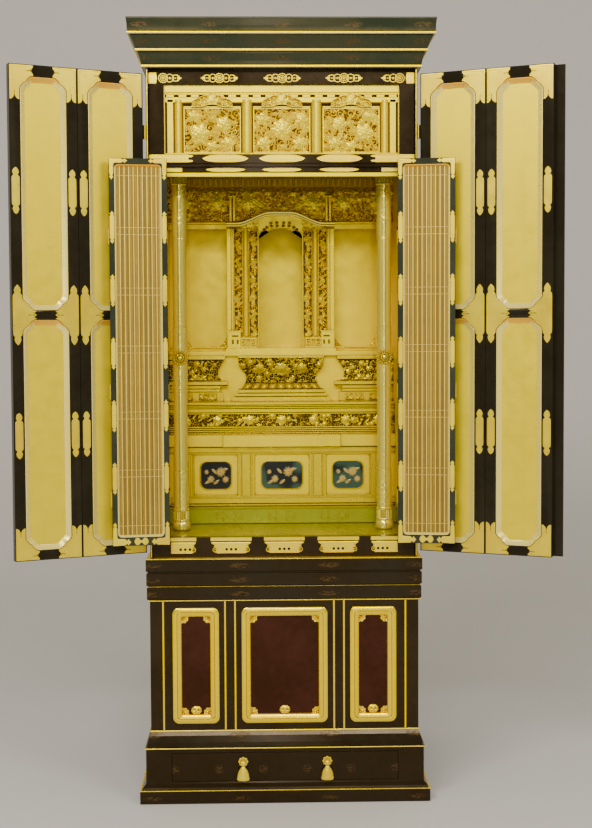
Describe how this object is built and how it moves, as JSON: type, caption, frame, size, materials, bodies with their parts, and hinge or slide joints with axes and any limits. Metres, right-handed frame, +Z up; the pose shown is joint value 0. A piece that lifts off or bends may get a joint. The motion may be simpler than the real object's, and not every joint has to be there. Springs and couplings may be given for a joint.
{
  "type": "buddhist home altar",
  "caption": "Black lacquered home altar with a stepped crown, gilt folding doors, folding lattice doors, a carved palace inside, and a panelled stand with a drawer.",
  "frame": {"origin": "on the floor, at the centre of the base's footprint", "axes": "+Z up, the altar faces -Y, +X to the right of someone who looks at its front"},
  "size_m": [1.1817, 0.6493, 1.72],
  "materials": {
    "black_lacquer": "gloss",
    "gold_leaf": "satin metallic",
    "pale_gold_leaf": "satin metallic",
    "copper_gold_lattice": "satin metallic",
    "maroon_lacquer": "gloss",
    "gilt_brass": "polished"
  },
  "bodies": {
    "cabinet": {"stand_base": "black_lacquer", "drawer_surround": "black_lacquer", "stand_lower_moulding": "black_lacquer", "stand_carcass": "black_lacquer", "stand_front_frame": "black_lacquer", "stand_panel_left": "maroon_lacquer", "stand_panel_centre": "maroon_lacquer", "stand_panel_right": "maroon_lacquer", "stand_cornice": "black_lacquer", "cabinet_side_left": "black_lacquer", "cabinet_side_right": "black_lacquer", "cabinet_back": "black_lacquer", "cabinet_floor": "black_lacquer", "ceiling_board": "black_lacquer", "front_post_left": "black_lacquer", "front_post_right": "black_lacquer", "lower_front_rail": "black_lacquer", "main_lintel": "black_lacquer", "upper_front_rail": "black_lacquer", "transom_frame": "gold_leaf", "transom_panel_left": "gold_leaf", "transom_panel_centre": "gold_leaf", "transom_panel_right": "gold_leaf", "crown": "black_lacquer", "column_left": "gold_leaf", "column_right": "gold_leaf", "front_step": "gold_leaf", "cupboard_front": "gold_leaf", "cupboard_inset_left": "black_lacquer", "cupboard_inset_centre": "black_lacquer", "cupboard_inset_right": "black_lacquer", "altar_shelf": "gold_leaf", "altar_bands": "gold_leaf", "dais_centre": "gold_leaf", "side_table_left": "gold_leaf", "side_table_right": "gold_leaf", "palace_platform": "gold_leaf", "palace_screen": "gold_leaf", "palace_frieze": "gold_leaf", "niche_shell": "gold_leaf", "side_bay_left": "gold_leaf", "side_bay_right": "gold_leaf", "gilt_back_wall": "gold_leaf"},
    "drawer": {"drawer_front": "black_lacquer", "drawer_tray": "black_lacquer", "drawer_pull_left": "gilt_brass", "drawer_pull_right": "gilt_brass"},
    "left_door_inner_leaf": {"door_left_inner_frame": "black_lacquer", "door_left_inner_panel": "pale_gold_leaf"},
    "left_door_outer_leaf": {"door_left_outer_frame": "black_lacquer", "door_left_outer_panel": "pale_gold_leaf"},
    "right_door_inner_leaf": {"door_right_inner_frame": "black_lacquer", "door_right_inner_panel": "pale_gold_leaf"},
    "right_door_outer_leaf": {"door_right_outer_frame": "black_lacquer", "door_right_outer_panel": "pale_gold_leaf"},
    "left_lattice_inner_leaf": {"lattice_left_inner": "copper_gold_lattice"},
    "left_lattice_outer_leaf": {"lattice_left_outer": "copper_gold_lattice"},
    "right_lattice_inner_leaf": {"lattice_right_inner": "copper_gold_lattice"},
    "right_lattice_outer_leaf": {"lattice_right_outer": "copper_gold_lattice"}
  },
  "joints": [
    {"name": "drawer_slide", "type": "slide", "parent": "cabinet", "child": "drawer", "axis": [0, -1, 0], "range_m": [0, 0.3]},
    {"name": "left_door_hinge", "type": "hinge", "parent": "cabinet", "child": "left_door_inner_leaf", "pos_m": [-0.2985, -0.25105, 1.082], "axis": [0, 0, -1], "range_deg": [-156, 0]},
    {"name": "left_door_fold", "type": "hinge", "parent": "left_door_inner_leaf", "child": "left_door_outer_leaf", "pos_m": [-0.44616, -0.28942, 1.082], "axis": [0, 0, -1], "range_deg": [0, 165]},
    {"name": "right_door_hinge", "type": "hinge", "parent": "cabinet", "child": "right_door_inner_leaf", "pos_m": [0.2985, -0.25105, 1.082], "axis": [0, 0, 1], "range_deg": [-156, 0]},
    {"name": "right_door_fold", "type": "hinge", "parent": "right_door_inner_leaf", "child": "right_door_outer_leaf", "pos_m": [0.44616, -0.28942, 1.082], "axis": [0, 0, 1], "range_deg": [0, 165]},
    {"name": "left_lattice_hinge", "type": "hinge", "parent": "cabinet", "child": "left_lattice_inner_leaf", "pos_m": [-0.2525, -0.26005, 0.999], "axis": [0, 0, -1], "range_deg": [-172, 0]},
    {"name": "left_lattice_fold", "type": "hinge", "parent": "left_lattice_inner_leaf", "child": "left_lattice_outer_leaf", "pos_m": [-0.37568, -0.29251, 0.999], "axis": [0, 0, 1], "range_deg": [-180, 0]},
    {"name": "right_lattice_hinge", "type": "hinge", "parent": "cabinet", "child": "right_lattice_inner_leaf", "pos_m": [0.2525, -0.26005, 0.999], "axis": [0, 0, 1], "range_deg": [-172, 0]},
    {"name": "right_lattice_fold", "type": "hinge", "parent": "right_lattice_inner_leaf", "child": "right_lattice_outer_leaf", "pos_m": [0.37568, -0.29251, 0.999], "axis": [0, 0, -1], "range_deg": [-180, 0]}
  ],
  "couplings": [
    {"joint": "left_lattice_hinge", "follows": "left_door_hinge", "ratio": 1.1025},
    {"joint": "left_lattice_fold", "follows": "left_door_hinge", "ratio": 1.1538},
    {"joint": "right_lattice_hinge", "follows": "right_door_hinge", "ratio": 1.1025},
    {"joint": "right_lattice_fold", "follows": "right_door_hinge", "ratio": 1.1538}
  ]
}
